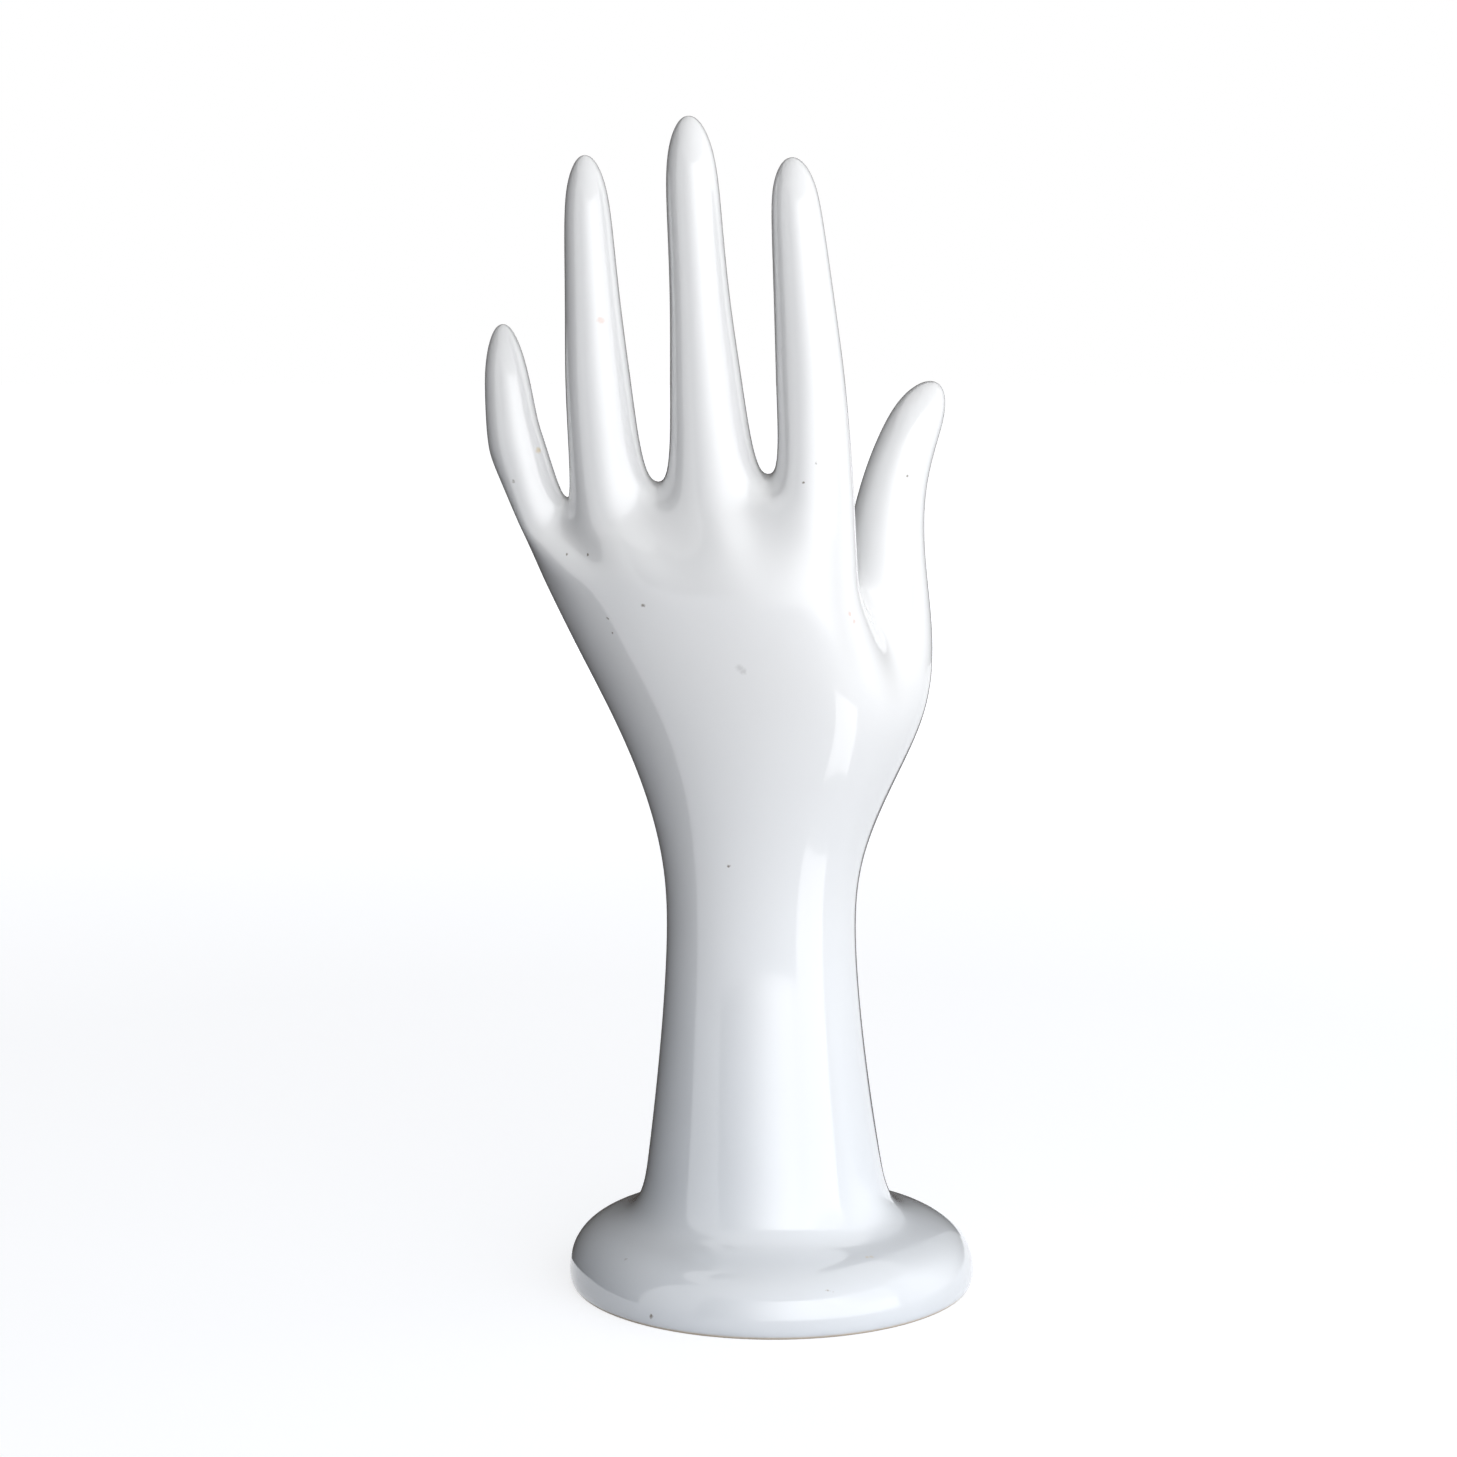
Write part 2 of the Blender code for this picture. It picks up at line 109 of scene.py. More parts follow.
# base is above the fork, lean the sideways travel, bend the power that it follows, curl the travel
# towards the palm, cap the length of the rounded end, splay the step from the base to the root
Digit = namedtuple("Digit", "base length lean bend curl width end taper cap splay")
digits = {
    "little": Digit(0.0300, 0.0335, -0.0061, 0.45, 0.0080, 0.0142, 0.0122, 1.0, 0.0220, 0.0032),
    "ring": Digit(0.0330, 0.0706, -0.0048, 0.80, 0.0110, 0.0182, 0.0115, 1.3, 0.0165, 0.0008),
    "middle": Digit(0.0330, 0.0796, -0.0058, 0.85, 0.0120, 0.0212, 0.0128, 2.2, 0.0170, 0.0005),
    "index": Digit(0.0335, 0.0691, -0.0057, 1.10, 0.0110, 0.0181, 0.0120, 1.0, 0.0135, 0.0),
    "thumb": Digit(0.0, 0.0488, 0.0132, 2.60, 0.0105, 0.0212, 0.0138, 1.2, 0.0120, 0.0),
}
digitForm = {
    "depth": 0.88,           # for a width of 1
    "shaftRings": 5,
    "capTurns": (30, 55, 75),
    "step": 0.001,           # for the direction of the path
    "shrink": 0.9024,        # how much the subdivision narrows a ring of eight
    "thumbShift": 0.0052,    # sideways from the palm's right edge
    "thumbY": 0.0110,
}

cage = {
    "columns": 32,
    "palmColumns": 12,
    "palmEdge": 13,          # columns of the ring at the fork
    "crease": 14,
    "thumbFront": 16,
    "thumbLast": 20,
    "levels": 3,
    "shiftX": 0.0100,        # from the foot's axis to the middle of the box
}

domeTop = foot["edge"] + foot["domeRise"]
neckZ = domeTop + foot["filletRise"]
wristZ = neckZ + arm["length"]
forkZ = wristZ + hand["length"]
palmX = arm["wristX"] + hand["palmShift"]
thumbX = palmX + hand["palmWidth"] / 2 + digitForm["thumbShift"]
fingers = [digits[name] for name in ("little", "ring", "middle", "index")]


def smooth(t):
    # three t squared less two t cubed: 0 to 1 with level ends
    return t * t * (3 - 2 * t)


def swing(start, end, run, t):
    # a cubic that leaves start level and arrives at end with the given run
    return start + (end - start) * smooth(t) + run * t * t * (t - 1)


def ellipse(x, y, z, halfWidth, halfDepth):
    # centre less the half sizes times cosine and sine of the turn: from -X round by the front, -Y
    turn = np.arange(cage["columns"]) * 2 * np.pi / cage["columns"]
    return np.stack([
        x - halfWidth * np.cos(turn),
        y - halfDepth * np.sin(turn),
        np.full(turn.shape, z),
    ], axis=1)


def digitPath(digit, x, y, z):
    # sideways lean times t to the bend, backwards curl times t squared
    t = np.maximum((z - forkZ - digit.base) / digit.length, 0)
    return np.stack([x + digit.lean * t ** digit.bend, y + digit.curl * t ** 2, z], axis=-1)


def digitRings(digit, x, y):
    # rings of eight square to the path: the width tapers by a power of the share along the shaft and
    # closes as a quarter ellipse over the rounded end
    base = forkZ + digit.base
    tip = base + digit.length
    shoulder = tip - digit.cap
    along = np.linspace(0, 1, digitForm["shaftRings"])
    turns = np.radians(digitForm["capTurns"])
    z = np.concatenate([base + (shoulder - base) * along, shoulder + digit.cap * np.sin(turns)])
    width = digit.end + (digit.width - digit.end) * (1 - along) ** digit.taper
    half = np.concatenate([width, digit.end * np.cos(turns)]) / 2 / digitForm["shrink"]
    step = digitForm["step"]
    centre = digitPath(digit, x, y, z)
    tangent = digitPath(digit, x, y, z + step) - digitPath(digit, x, y, z - step)
    tangent /= np.linalg.norm(tangent, axis=1, keepdims=True)
    across = np.array([1.0, 0.0, 0.0]) - tangent[:, :1] * tangent
    across /= np.linalg.norm(across, axis=1, keepdims=True)
    back = np.cross(tangent, across)
    corner = np.radians(-135 + 45 * np.arange(8))
    rings = (
        centre[:, None]
        + half[:, None, None] * np.cos(corner)[None, :, None] * across[:, None]
        + half[:, None, None] * digitForm["depth"] * np.sin(corner)[None, :, None] * back[:, None]
    )
    return rings, digitPath(digit, x, y, np.array([tip]))


def fingerPlaces():
    # widths and gaps laid side by side about the middle of the row
    widths = np.array([finger.width for finger in fingers])
    gaps = np.array(roots["gaps"])
    starts = np.concatenate([[0], np.cumsum(widths[:-1] + gaps)])
    return palmX + roots["shift"] - (widths.sum() + gaps.sum()) / 2 + starts + widths / 2


def palmMiddle(x):
    # the palm's middle plane, which faces a little away from the thumb
    return hand["palmY"] - hand["palmTwist"] * (x - palmX)


def palmRingAtFork():
    # a superellipse, bent so that its two sides lie further back by the arch times the share squared
    count = cage["palmColumns"]
    share = np.arange(1, count + 1) / (count + 1)
    turn = np.abs(2 * share - 1)
    reach = (1 - turn ** hand["squareness"]) ** (1 / hand["squareness"])
    arch = hand["palmArch"] * turn ** 2
    x = palmX + hand["palmWidth"] * (share - 0.5)
    height = np.full(count, forkZ)
    front = np.stack([x, arch - hand["palmFront"] * reach, height], axis=1)
    back = np.stack([x, arch + hand["palmBack"] * reach, height], axis=1)
    left = np.array([[palmX - hand["palmWidth"] / 2, hand["palmArch"], forkZ]])
    right = np.array([[palmX + hand["palmWidth"] / 2, hand["palmArch"], forkZ]])
    ring = np.concatenate([left, front, right, back[::-1]])
    ring[:, 1] += palmMiddle(ring[:, 0])
    return ring


def rootSides(bases):
    # each base stepped down by its splay, then the sides drawn together to the widths of the webs
    splay = np.array([finger.splay for finger in fingers])
    left = np.array([base[7, 0] for base in bases]) + splay
    right = np.array([base[3, 0] for base in bases]) + splay
    middle = (right[:-1] + left[1:]) / 2
    half = np.array(roots["webWidths"]) / 2
    return np.append(left[:1], middle + half), np.append(middle - half, right[-1:])


def palmRingAtRoots(bases):
    # the palm's columns, each under its corner of a finger's first ring, and the six web corners
    sideHeights, webHeights, sideFills = roots["sideHeights"], roots["webHeights"], roots["sideFills"]
    heights = forkZ + np.array([sideHeights[0], *webHeights, sideHeights[1]])
    fills = (sideFills[0], *roots["webFills"], sideFills[1])
    front, back, sides = [], [], []
    for i, (base, left, right) in enumerate(zip(bases, *rootSides(bases))):
        low, high = heights[i], heights[i + 1]
        ring = base.copy()
        ring[[0, 6], 1] += (base[[1, 5], 1] - base[[0, 6], 1]) * fills[i]
        ring[[2, 4], 1] += (base[[1, 5], 1] - base[[2, 4], 1]) * fills[i + 1]
        ring[:, 0] = left + (right - left) * (base[:, 0] - base[7, 0]) / (base[3, 0] - base[7, 0])
        ring[[0, 6, 7], 2] = low
        ring[[1, 5], 2] = (low + high) / 2
        ring[[2, 3, 4], 2] = high
        ring[:3, 2] -= roots["webSlope"]
        front.append(ring[:3])
        back.append(ring[[6, 5, 4]])
        sides.append(ring[[7, 3]])
    front, back, sides = np.concatenate(front), np.concatenate(back), np.concatenate(sides)
    return np.concatenate([sides[:1], front, sides[-1:], back[::-1]]), sides[1:-1]


def palmRows(fork, rootRing):
    # blends from the fork to the roots, in y by a power of the share, less the relief times a bell
    # curve about the knuckles
    relief = np.zeros(len(fork))
    relief[1:cage["palmEdge"]] = -roots["valleyDepth"]
    relief[2:cage["palmEdge"]:3] = roots["knuckleRises"]
    rows = []
    for share in roots["shares"]:
        ring = fork + (rootRing - fork) * np.array([share, share ** roots["power"], share])
        bell = np.exp(-((ring[:, 2] - forkZ - roots["knuckleHeight"]) / roots["knuckleSpread"]) ** 2)
        ring[:, 1] -= relief * bell
        rows.append(ring)
    return rows


def unitShape(ring):
    low, high = ring[:, :2].min(axis=0), ring[:, :2].max(axis=0)
    return (ring[:, :2] - (low + high) / 2) / ((high - low) / 2)


def wristRows(wrist, fork):
    # the outline blends from the wrist's ellipse to the outline at the fork, while its left, right,
    # front and back each follow a curve of their own
    start, end = unitShape(wrist), unitShape(fork)
    low0, high0 = wrist[:, :2].min(axis=0), wrist[:, :2].max(axis=0)
    low1, high1 = fork[:, :2].min(axis=0), fork[:, :2].max(axis=0)
    thenarX, thenarZ = thumbX + hand["thenarReach"], forkZ - hand["thenarDrop"]
    edge, front = cage["palmEdge"], cage["thumbFront"]
    rows = []
    for share, fade in zip(hand["shares"], hand["creaseFade"]):
        z = wristZ + hand["length"] * share
        thenar = smooth(min(1.0, (z - wristZ) / (thenarZ - wristZ)) ** hand["thenarPower"])
        above = max(0.0, (z - thenarZ) / (forkZ - thenarZ))
        left = swing(low0[0], low1[0], hand["palmSlope"] * hand["length"], share)
        right = high0[0] + (thenarX - high0[0]) * thenar + (high1[0] - thenarX) * above
        near = low0[1] + (low1[1] - low0[1]) * smooth(share)
        far = high0[1] + (high1[1] - high0[1]) * thenar
        shape = start + (end - start) * smooth(share)
        bridge = np.linspace(shape[edge], shape[front], front - edge + 1)
        shape[edge:front + 1] = bridge + (shape[edge:front + 1] - bridge) * fade
        shape = (np.roll(shape, 1, axis=0) + 2 * shape + np.roll(shape, -1, axis=0)) / 4
        low, high = shape.min(axis=0), shape.max(axis=0)
        part = (shape - low) / (high - low)
        x = left + (right - left) * part[:, 0]
        y = near + (far - near) * part[:, 1]
        rows.append(np.stack([x, y, np.full(len(x), z)], axis=1))
    return rows


def armRows(inset, shares):
    # centre and half sizes go from the wrist's to the neck's by the power of the share that is left
    rows = []
    for share in shares:
        grow = (1 - share) ** arm["power"]
        x = arm["wristX"] + (arm["neckX"] - arm["wristX"]) * grow
        halfWidth = (arm["wristWidth"] + (arm["neckWidth"] - arm["wristWidth"]) * grow) / 2 - inset
        halfDepth = (arm["wristDepth"] + (arm["neckDepth"] - arm["wristDepth"]) * grow) / 2 - inset
        rows.append(ellipse(x, 0, neckZ + arm["length"] * share, halfWidth, halfDepth))
    return rows


def domeRows(inset, turns):
    # quarter ellipses from the foot's edge to the neck
    rows = []
    for turn in np.radians(turns):
        out = np.cos(turn)
        halfWidth = arm["neckWidth"] / 2 - inset + (foot["radius"] - arm["neckWidth"] / 2) * out
        halfDepth = arm["neckDepth"] / 2 - inset + (foot["radius"] - arm["neckDepth"] / 2) * out
        z = foot["edge"] + (foot["domeRise"] - inset) * np.sin(turn)
        rows.append(ellipse(arm["neckX"] * (1 - out), 0, z, halfWidth, halfDepth))
    return rows


def circle(radius, z):
    return ellipse(0, 0, z, radius, radius)


def hollowRows():
    # the outside moved in by the wall up to the wrist, then an ellipse that turns with the palm and
    # closes under the fork
    wall = foot["wall"]
    edge = foot["radius"] - foot["bevel"]
    rows = [circle(edge - foot["ring"], 0), circle(foot["radius"] - wall, foot["bevel"])]
    rows += domeRows(wall, foot["hollowTurns"]) + armRows(wall, arm["hollowShares"])
    topZ = forkZ - hand["hollowDrop"]
    wristHalf = np.array([arm["wristWidth"], arm["wristDepth"]]) / 2 - wall
    palmHalf = np.array([hand["hollowWidth"], hand["hollowDepth"]]) / 2
    for share in hand["hollowShares"]:
        half = (wristHalf + (palmHalf - wristHalf) * share) * np.sqrt(1 - share ** 4)
        turned = smooth((topZ - wristZ) * share / hand["length"])
        x = arm["wristX"] + hand["palmShift"] * turned
        ring = ellipse(x, hand["palmY"] * turned, wristZ + (topZ - wristZ) * share, *half)
        ring[:, 1] -= hand["palmTwist"] * turned * (ring[:, 0] - x)
        rows.append(ring)
    return rows, np.array([[palmX, hand["palmY"], topZ]])


class Skin:
    # points and four-sided faces, added a whole ring at a time
    def __init__(self):
        self.points = []
        self.quads = []
        self.triangles = []
        self.count = 0

    def add(self, ring):
        self.points.append(ring)
        self.count += len(ring)
        return np.arange(self.count - len(ring), self.count)

    def band(self, low, high):
        self.quads.append(np.stack([low, np.roll(low, -1), np.roll(high, -1), high], axis=1))

    def stack(self, first, rings):
        for ring in rings:
            above = self.add(ring)
            self.band(first, above)
            first = above
        return first

    def cap(self, ring, tip):
        tips = np.full(4, tip)
        self.quads.append(np.stack([ring[::2], ring[1::2], np.roll(ring[::2], -1), tips], axis=1))

    def fan(self, ring, tip):
        self.triangles.append(np.stack([ring, np.roll(ring, -1), np.full(len(ring), tip)], axis=1))


def castingSkin():
    spots = zip(fingers, fingerPlaces(), roots["shifts"])
    places = [digitRings(finger, x, palmMiddle(x) + shift) for finger, x, shift in spots]
    thumbRings, thumbTip = digitRings(digits["thumb"], thumbX, digitForm["thumbY"])
    thumbRings[0, :, 2] = forkZ
    palm = palmRingAtFork()
    crease, last, edge = cage["crease"], cage["thumbLast"], cage["palmEdge"]
    fork = np.concatenate([palm[:crease], thumbRings[0, :-1], palm[crease + 1:]])
    rootRing, webs = palmRingAtRoots([rings[0] for rings, tip in places])

    skin = Skin()
    outside = [circle(foot["radius"] - foot["bevel"], 0), circle(foot["radius"], foot["bevel"])]
    outside += domeRows(0, foot["domeTurns"]) + armRows(0, arm["shares"])
    footRing = skin.add(outside[0])
    forkRing = skin.stack(skin.stack(footRing, outside[1:]), wristRows(outside[-1], fork) + [fork])

    inside, top = hollowRows()
    innerRing = skin.add(inside[0])
    skin.band(footRing, innerRing)
    skin.fan(skin.stack(innerRing, inside[1:]), skin.add(top)[0])

    palmSide = skin.add(palm[crease:crease + 1])[0]
    thumbSide = skin.add(thumbRings[0, -1:])[0]
    skin.quads.append(np.array([
        [forkRing[edge], forkRing[crease], thumbSide, palmSide],
        [palmSide, thumbSide, forkRing[last], forkRing[last + 1]],
    ]))
    thumbRing = np.append(forkRing[crease:last + 1], thumbSide)
    skin.cap(skin.stack(thumbRing, thumbRings[1:]), skin.add(thumbTip)[0])

    palmRing = np.concatenate([forkRing[:crease], [palmSide], forkRing[last + 1:]])
    row = skin.stack(palmRing, palmRows(palm, rootRing) + [rootRing])
    web = skin.add(webs)
    front, back = row[1:edge].reshape(-1, 3), row[edge + 1:][::-1].reshape(-1, 3)
    sides = np.concatenate([[row[0]], web, [row[edge]]]).reshape(-1, 2)
    for f, b, s, (rings, tip) in zip(front, back, sides, places):
        ring = np.concatenate([f, [s[1]], b[::-1], [s[0]]])
        skin.cap(skin.stack(ring, rings[1:]), skin.add(tip)[0])
    skin.quads.append(np.stack([front[:-1, 2], front[1:, 0], web[1::2], web[::2]], axis=1))
    skin.quads.append(np.stack([web[::2], web[1::2], back[1:, 0], back[:-1, 2]], axis=1))
    return skin, footRing, innerRing


def makeStand(material):
    # the cage's two rings under the foot are creased, so that the Subdivision Surface keeps them flat
    skin, *flatRings = castingSkin()
    points = np.concatenate(skin.points) + np.array([cage["shiftX"], 0.0, 0.0])
    faces = np.concatenate(skin.quads).tolist() + np.concatenate(skin.triangles).tolist()
    mesh = bpy.data.meshes.new("handCasting")
    mesh.from_pydata(points.tolist(), [], faces)
    shape = bmesh.new()
    shape.from_mesh(mesh)
    bmesh.ops.recalc_face_normals(shape, faces=shape.faces)
    shape.to_mesh(mesh)
    shape.free()

    ends = np.zeros(len(mesh.edges) * 2, dtype=np.int32)
    mesh.edges.foreach_get("vertices", ends)
    ends = ends.reshape(-1, 2)
    crease = np.zeros(len(ends), dtype=np.float32)
    for ring in flatRings:
        crease[((ends >= ring[0]) & (ends <= ring[-1])).all(axis=1)] = 1.0
    layer = mesh.attributes.new("crease_edge", "FLOAT", "EDGE")
    layer.data.foreach_set("value", crease)

    mesh.shade_smooth()
    mesh.materials.append(material)
    stand = bpy.data.objects.new("handCasting", mesh)
    bpy.context.collection.objects.link(stand)
    rounding = stand.modifiers.new("rounding", "SUBSURF")
    rounding.levels = cage["levels"]
    rounding.render_levels = cage["levels"]
    return stand


class Socket:
    # wraps a socket, so that an expression on values adds its Math nodes
    def __init__(self, shader, link):
        self.shader, self.link = shader, link

    def math(self, operation, *others):
        values = dict(enumerate((self,) + others))
        return self.shader.node("ShaderNodeMath", {"operation": operation}, values)

    def __add__(self, other):
        return self.math("ADD", other)

    def __sub__(self, other):
        return self.math("SUBTRACT", other)

    def __mul__(self, other):
        return self.math("MULTIPLY", other)

    def __truediv__(self, other):
        return self.math("DIVIDE", other)

    def __rsub__(self, other):
        return self.shader.value(other).math("SUBTRACT", self)

    __radd__ = __add__
    __rmul__ = __mul__


class Shader:
    def __init__(self, tree):
        self.tree = tree

    def node(self, kind, settings=None, values=None, output=0):
        node = self.tree.nodes.new(kind)
        for name, setting in (settings or {}).items():
            setattr(node, name, setting)
        for name, value in (values or {}).items():
            socket = node.inputs[name]
            if isinstance(value, Socket):
                self.tree.links.new(value.link, socket)
            else:
                socket.default_value = value
        return Socket(self, node.outputs[output])

    def seen(self):
        # 1 for what is seen straight, in a reflection or through glass
        path = self.tree.nodes.new("ShaderNodeLightPath")
        names = ("Is Camera Ray", "Is Glossy Ray", "Is Transmission Ray")
        camera, glossy, through = [Socket(self, path.outputs[name]) for name in names]
        return camera + glossy + through

    def mix(self, share, first, second):
        # a colour between two others
        values = {"Factor": share, "A": first, "B": second}
        return self.node("ShaderNodeMix", {"data_type": "RGBA"}, values, "Result")

    def dot(self, first, second):
        values = {0: first, 1: second}
        return self.node("ShaderNodeVectorMath", {"operation": "DOT_PRODUCT"}, values, "Value")

    def noise(self, place, scale, detail, output=0):
        values = {"Vector": place, "Scale": scale, "Detail": detail}
        return self.node("ShaderNodeTexNoise", None, values, output)

    def value(self, number):
        constant = self.tree.nodes.new("ShaderNodeValue")
        constant.outputs[0].default_value = number
        return Socket(self, constant.outputs[0])


glaze = {
    "colour": (0.86, 0.865, 0.87, 1.0),
    "paintedCoolShadeColour": (0.79, 0.83, 0.88, 1.0),    # painted cool shade: the lower arm and the foot darker and bluer, for cool light from low down
    "paintedCoolShadeFrom": 0.150,        # the painted cool shade grows from this height down to the next
    "paintedCoolShadeTo": 0.020,
    "cloudColour": (0.80, 0.80, 0.795, 1.0),
    "cloudScale": 22.0,
    "cloudDetail": 3.0,
    "cloudShare": 0.35,      # how much of the cloud colour is mixed in at most
    "roughness": 0.06,
    "roughnessSpan": 0.06,
    "coat": 0.8,
    "coatRoughness": 0.02,
    "waveScale": 38.0,       # the slow waviness of the glaze
    "waveDetail": 1.0,
    "waveHeight": 0.0004,
    "bareColour": (0.74, 0.64, 0.52, 1.0),
    "bareRoughness": 0.75,
    "bareFrom": 0.0009,      # the bare ring under the foot ends between these heights
    "bareTo": 0.0004,
}

# Small flaws in the glaze: x, y and z of the middle, then the radius
flaws = {
    "wobble": 0.0010,        # makes their outlines uneven
    "wobbleScale": 900.0,
    "wobbleDetail": 1.0,
    "core": 0.35,            # share of the radius that has the full colour
    "speckColour": (0.24, 0.21, 0.18, 1.0),
    "specks": (
        (-0.0521, -0.0011, 0.1971, 0.00055),
        (-0.0391, -0.0084, 0.1802, 0.00050),
        (-0.0340, -0.0113, 0.1804, 0.00045),
        (-0.0293, -0.0131, 0.1654, 0.00050),
        (-0.0281, -0.0129, 0.1620, 0.00045),
        (-0.0206, -0.0185, 0.1690, 0.00050),
        (-0.0006, -0.0179, 0.1065, 0.00055),
        (0.0427, 0.0077, 0.1977, 0.00045),
        (0.0168, -0.0238, 0.1983, 0.00040),
        (0.0199, -0.0236, 0.2030, 0.00040),
        (-0.0250, -0.0273, 0.0125, 0.00060),
        (-0.0188, -0.0407, 0.0029, 0.00060),
    ),
    "scratchColour": (0.52, 0.49, 0.46, 1.0),
    "scratches": (
        (0.0219, -0.0450, 0.0104, 0.00045),
        (0.0226, -0.0449, 0.0104, 0.00045),
        (0.0232, -0.0448, 0.0103, 0.00045),
        (0.0238, -0.0447, 0.0103, 0.00045),
    ),
    "smearColour": (0.70, 0.70, 0.70, 1.0),
    "smears": (
        (0.0020, -0.0239, 0.1548, 0.00110),
        (0.0029, -0.0239, 0.1541, 0.00100),
    ),
    "stainColour": (0.76, 0.67, 0.52, 1.0),
    "stains": (
        (0.0322, -0.0322, 0.0141, 0.00100),
        (0.0332, -0.0318, 0.0141, 0.00090),
        (-0.0461, 0.0007, 0.2044, 0.00100),
    ),
    "pinkColour": (0.80, 0.68, 0.63, 1.0),
    "pinks": (
        (-0.0308, -0.0064, 0.2354, 0.00110),
        (0.0278, -0.0218, 0.1675, 0.00070),
        (0.0288, -0.0209, 0.1655, 0.00060),
    ),
}


def coverOf(shader, place, spots):
    # the greatest cover of any spot: 1 within its core and 0 past its radius
    cover = shader.value(0.0)
    for x, y, z, radius in spots:
        ends = {0: place, 1: (x, y, z)}
        away = shader.node("ShaderNodeVectorMath", {"operation": "DISTANCE"}, ends, "Value")
        fall = {"Value": away, "From Min": radius, "From Max": radius * flaws["core"]}
        cover = cover.math("MAXIMUM", shader.node("ShaderNodeMapRange", None, fall))
    return cover


def addFlaws(shader, place, colour):
    # the place is moved by up to half the wobble each way, so that no spot is quite round
    shift = shader.noise(place, flaws["wobbleScale"], flaws["wobbleDetail"], "Color")
    span = {0: shift, 1: (flaws["wobble"],) * 3, 2: (-flaws["wobble"] / 2,) * 3}
    shift = shader.node("ShaderNodeVectorMath", {"operation": "MULTIPLY_ADD"}, span)
    uneven = shader.node("ShaderNodeVectorMath", {"operation": "ADD"}, {0: place, 1: shift})
    kinds = {
        "pinks": "pinkColour",
        "stains": "stainColour",
        "smears": "smearColour",
        "scratches": "scratchColour",
        "specks": "speckColour",
    }
    for spots, tone in kinds.items():
        colour = shader.mix(coverOf(shader, uneven, flaws[spots]), colour, flaws[tone])
    return colour


def makeGlaze():
    material = bpy.data.materials.new("glazedCeramic")
    material.use_nodes = True
    tree = material.node_tree
    shader = Shader(tree)
    place = shader.node("ShaderNodeTexCoord", output="Object")
    height = shader.node("ShaderNodeSeparateXYZ", None, {0: place}, output="Z")
    # painted cool shade: 0 above the first height, 1 below the second
    low = shader.node("ShaderNodeMapRange", None, {
        "Value": height, "From Min": glaze["paintedCoolShadeFrom"], "From Max": glaze["paintedCoolShadeTo"],
    })
    bare = shader.node("ShaderNodeMapRange", None, {
        "Value": height, "From Min": glaze["bareFrom"], "From Max": glaze["bareTo"],
    })
    cloud = shader.noise(place, glaze["cloudScale"], glaze["cloudDetail"])
    wave = shader.noise(place, glaze["waveScale"], glaze["waveDetail"])

    # the painted cool shade is mixed into the glaze colour towards the foot
    colour = shader.mix(low, glaze["colour"], glaze["paintedCoolShadeColour"])
    colour = shader.mix(cloud * glaze["cloudShare"], colour, glaze["cloudColour"])
    colour = addFlaws(shader, place, colour)
    colour = shader.mix(bare, colour, glaze["bareColour"])
    gloss = glaze["roughness"] + cloud * glaze["roughnessSpan"]
    roughness = gloss * (1 - bare) + bare * glaze["bareRoughness"]
    coat = (1 - bare) * glaze["coat"]
    relief = {"Height": wave, "Distance": glaze["waveHeight"], "Strength": 1.0}
    ripple = shader.node("ShaderNodeBump", None, relief)

    body = tree.nodes["Principled BSDF"]
    body.inputs["Coat Roughness"].default_value = glaze["coatRoughness"]
    tree.links.new(colour.link, body.inputs["Base Color"])
    tree.links.new(roughness.link, body.inputs["Roughness"])
    tree.links.new(coat.link, body.inputs["Coat Weight"])
    tree.links.new(ripple.link, body.inputs["Normal"])
    return material


studio = {
    "worldStrength": 0.15,
    "floorColour": (0.36, 0.38, 0.42, 1.0),
    "floorSize": 12.0,
    "glowNear": 0.76,        # what the floor adds near the stand, where it is seen straight or reflected
    "glowFar": 1.0,
    "screenStep": 4,         # degrees between the points of a curved screen
    "glowStart": 0.35,       # the glow rises over this stretch of distance from the stand
    "glowEnd": 1.60,
}

# Curved screens round the stand, which the camera doesn't see. Azimuths run from -Y towards +X.
softWall = {                 # lights the front and the right
    "radius": 1.25,
    "height": (0.0, 1.30),
    "azimuths": (-42, 178),
    "base": 0.30,
    "bells": ((20, 31, 2.95), (98, 30, 1.3)),    # azimuth of the brightest place, spread and strength
    "colour": (0.985, 0.99, 1.0, 1.0),
}

backWall = {                 # lights the palm's side and shows in no reflection
    "radius": 1.27,
    "height": (0.0, 1.30),
    "azimuths": (120, 214),
    "base": 0.0,
    "bells": ((170, 32, 2.2),),
    "colour": (0.985, 0.99, 1.0, 1.0),
    "glossy": False,
}

darkScreen = {               # only seen in reflections, as the dark side of a room
    "radius": 0.24,
    "height": (0.0, 0.50),
    "azimuths": (-212, -71),
    "colour": (0.045, 0.036, 0.030, 1.0),
}

darkMat = {                  # the same for what is reflected low down, behind the foot
    "radius": 0.24,
    "inner": 0.052,
    "height": (0.0004, 0.0004),
    "azimuths": (-212, -112),
    "colour": (0.045, 0.036, 0.030, 1.0),
}

stripScreen = {              # only seen in reflections, as a window
    "radius": 0.24,
    "height": (0.0, 0.085),
    "azimuths": (36, 68),
    "colour": (1.0, 1.0, 1.0, 1.0),
    "strength": 2.6,
}

windowLamp = {
    "place": (0.98, -0.62, 0.50),
    "aim": (0.0, 0.0, 0.14),
    "size": (0.80, 1.20),
    "power": 2.5,
}


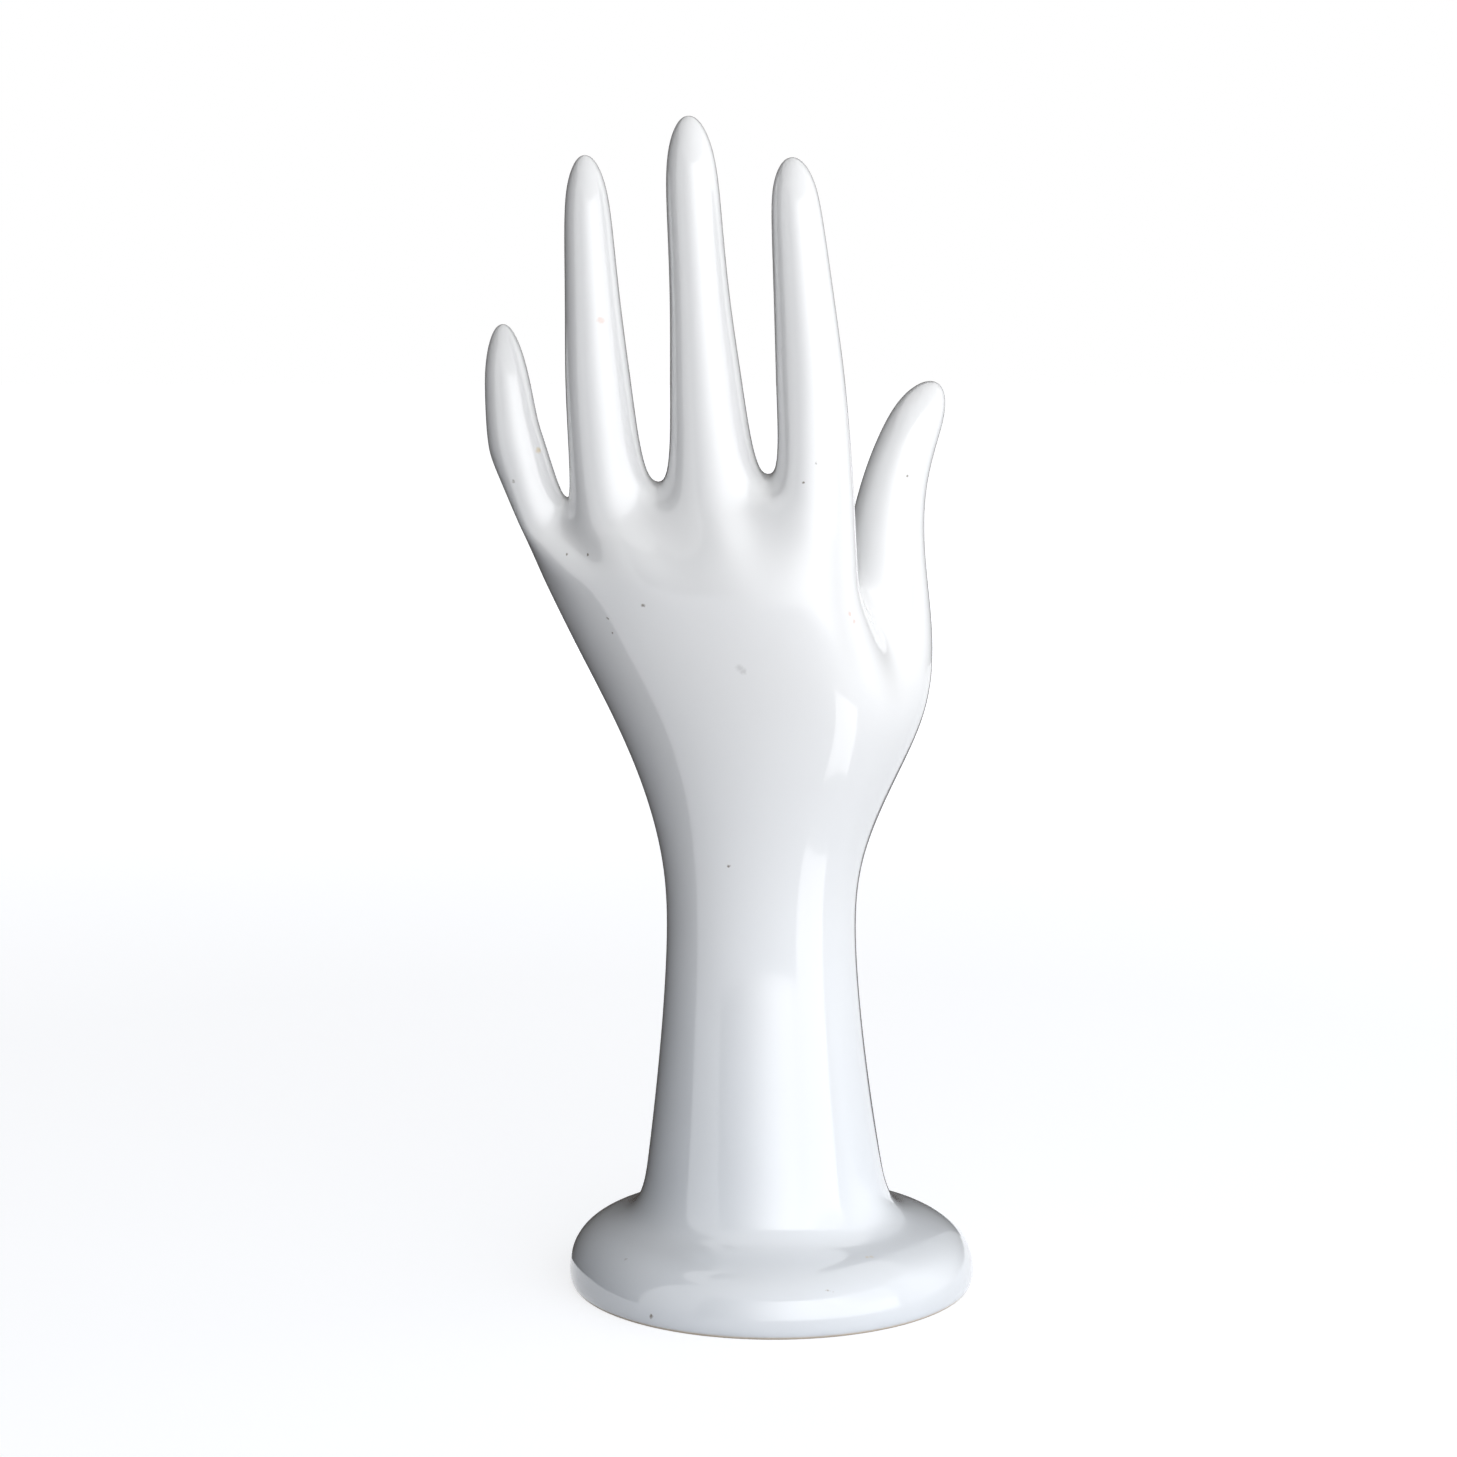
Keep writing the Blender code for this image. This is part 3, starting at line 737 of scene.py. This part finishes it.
def makeFloor():
    half = studio["floorSize"] / 2
    mesh = bpy.data.meshes.new("floor")
    corners = [(-half, -half, 0), (half, -half, 0), (half, half, 0), (-half, half, 0)]
    mesh.from_pydata(corners, [], [(0, 1, 2, 3)])
    floor = bpy.data.objects.new("floor", mesh)
    bpy.context.collection.objects.link(floor)
    material = bpy.data.materials.new("paleFloor")
    material.use_nodes = True
    tree = material.node_tree
    tree.nodes.clear()
    shader = Shader(tree)
    place = shader.node("ShaderNodeTexCoord", output="Object")
    distance = shader.node("ShaderNodeVectorMath", {"operation": "LENGTH"}, {0: place}, output="Value")
    reach = {
        "Value": distance,
        "From Min": studio["glowStart"],
        "From Max": studio["glowEnd"],
        "To Min": studio["glowNear"],
        "To Max": studio["glowFar"],
    }
    rise = shader.node("ShaderNodeMapRange", None, reach)
    glow = {"Color": (1, 1, 1, 1), "Strength": shader.seen() * rise}
    light = shader.node("ShaderNodeEmission", None, glow)
    matt = shader.node("ShaderNodeBsdfDiffuse", None, {"Color": studio["floorColour"]})
    both = shader.node("ShaderNodeAddShader", None, {0: light, 1: matt})
    end = tree.nodes.new("ShaderNodeOutputMaterial")
    tree.links.new(both.link, end.inputs["Surface"])
    mesh.materials.append(material)
    return floor


def makeScreen(name, form):
    # radius times sine and cosine of the azimuth, with a point every few degrees. A mat has an inner
    # radius as well, and both its edges at one height.
    first, last = form["azimuths"]
    turn = np.radians(np.linspace(first, last, 2 + int(last - first) // studio["screenStep"]))
    out = np.stack([np.sin(turn), -np.cos(turn), np.zeros(len(turn))], axis=1)
    low = out * form.get("inner", form["radius"]) + np.array([0.0, 0.0, form["height"][0]])
    high = out * form["radius"] + np.array([0.0, 0.0, form["height"][1]])
    near = np.arange(len(turn) - 1)
    over = near + len(turn)
    mesh = bpy.data.meshes.new(name)
    faces = np.stack([near, over, over + 1, near + 1], axis=1).tolist()
    mesh.from_pydata(np.concatenate([low, high]).tolist(), [], faces)
    screen = bpy.data.objects.new(name, mesh)
    bpy.context.collection.objects.link(screen)
    screen.visible_camera = False
    material = bpy.data.materials.new(name)
    material.use_nodes = True
    material.node_tree.nodes.clear()
    mesh.materials.append(material)
    return screen, material.node_tree


def makeReflection(name, form):
    # a screen that lights nothing and shows in glossy reflections alone
    screen, tree = makeScreen(name, form)
    screen.visible_diffuse = False
    screen.visible_shadow = False
    glow = {"Color": form["colour"], "Strength": form.get("strength", 1.0)}
    light = Shader(tree).node("ShaderNodeEmission", None, glow)
    end = tree.nodes.new("ShaderNodeOutputMaterial")
    tree.links.new(light.link, end.inputs["Surface"])
    return screen


def makeSoftWall(name, form):
    # the glow is a base and bells about their own azimuths. The azimuth is that of the wall's middle
    # plus the turn from it.
    wall, tree = makeScreen(name, form)
    wall.visible_glossy = form.get("glossy", True)
    shader = Shader(tree)
    place = shader.node("ShaderNodeTexCoord", output="Object")
    middle = np.radians(np.mean(form["azimuths"]))
    ahead = shader.dot(place, (np.sin(middle), -np.cos(middle), 0))
    aside = shader.dot(place, (np.cos(middle), np.sin(middle), 0))
    azimuth = aside.math("ARCTAN2", ahead) + middle
    strength = form["base"]
    for centre, spread, peak in form["bells"]:
        away = (azimuth - np.radians(centre)) / np.radians(spread)
        strength = (away * away * -1).math("EXPONENT") * peak + strength
    glow = {"Color": form["colour"], "Strength": strength}
    light = shader.node("ShaderNodeEmission", None, glow)
    end = tree.nodes.new("ShaderNodeOutputMaterial")
    tree.links.new(light.link, end.inputs["Surface"])
    return wall


def makeWorld():
    world = bpy.data.worlds.new("studio")
    bpy.context.scene.world = world
    world.use_nodes = True
    tree = world.node_tree
    seen = Shader(tree).seen()
    strength = seen + (1 - seen) * studio["worldStrength"]
    background = tree.nodes["Background"]
    background.inputs["Color"].default_value = (1, 1, 1, 1)
    tree.links.new(strength.link, background.inputs["Strength"])


def makeWindowLamp():
    data = bpy.data.lights.new("window", "AREA")
    data.shape = "RECTANGLE"
    data.size, data.size_y = windowLamp["size"]
    data.energy = windowLamp["power"]
    lamp = bpy.data.objects.new("window", data)
    lamp.location = windowLamp["place"]
    direction = Vector(windowLamp["aim"]) - lamp.location
    lamp.rotation_euler = direction.to_track_quat("-Z", "Y").to_euler()
    lamp.visible_camera = False
    bpy.context.collection.objects.link(lamp)


view = {
    "place": (-0.0006, -0.80, 0.2493),
    "aim": (-0.0006, 0.0, 0.1372),
    "lens": 82.4,
}


def makeCamera():
    data = bpy.data.cameras.new("camera")
    data.lens = view["lens"]
    camera = bpy.data.objects.new("camera", data)
    camera.location = view["place"]
    camera.rotation_euler = (Vector(view["aim"]) - camera.location).to_track_quat("-Z", "Y").to_euler()
    bpy.context.collection.objects.link(camera)
    bpy.context.scene.camera = camera


makeCamera()
makeWorld()
makeWindowLamp()
makeFloor()
makeSoftWall("softWall", softWall)
makeSoftWall("backWall", backWall)
makeReflection("darkScreen", darkScreen)
makeReflection("darkMat", darkMat)
makeReflection("stripScreen", stripScreen)
print("camera, lights and floor are in place")

stand = makeStand(makeGlaze())
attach(stand, "root")
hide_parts("hand_stand")
print("hand casting made")

bpy.context.scene.view_settings.view_transform = "Standard"
